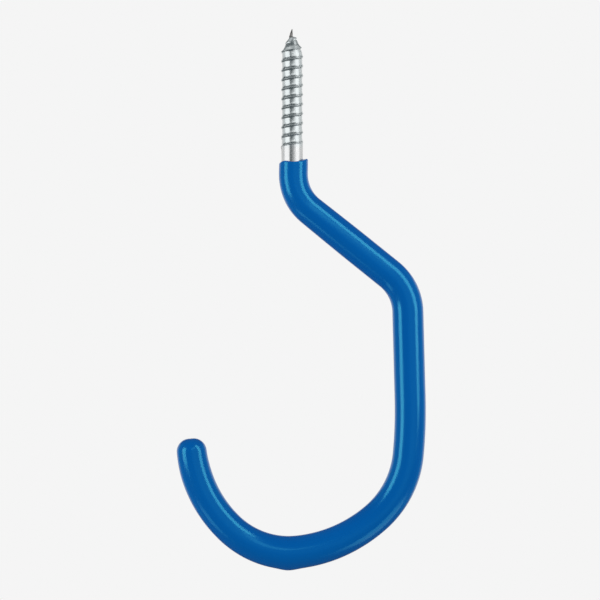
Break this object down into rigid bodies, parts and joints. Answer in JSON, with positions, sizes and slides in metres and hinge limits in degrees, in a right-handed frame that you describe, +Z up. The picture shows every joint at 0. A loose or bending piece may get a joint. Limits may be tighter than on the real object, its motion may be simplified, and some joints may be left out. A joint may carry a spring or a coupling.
{
  "type": "bicycle storage hook",
  "caption": "J-shaped storage hook of steel rod with a wood-screw end, its hook dipped in a smooth blue vinyl skin.",
  "frame": {"origin": "on the screw's axis, level with the top edge of the vinyl", "axes": "+Z up along the screw, towards its point; the hook lies in the XZ plane and its mouth faces -X; Y is across the rod"},
  "size_m": [0.0921, 0.0122, 0.2004],
  "materials": {
    "zinc_steel": "bright zinc plating, as rolled",
    "blue_vinyl": "gloss, dipped"
  },
  "bodies": {
    "root": {"steel_rod": "zinc_steel", "vinyl_coating": "blue_vinyl"}
  },
  "joints": []
}
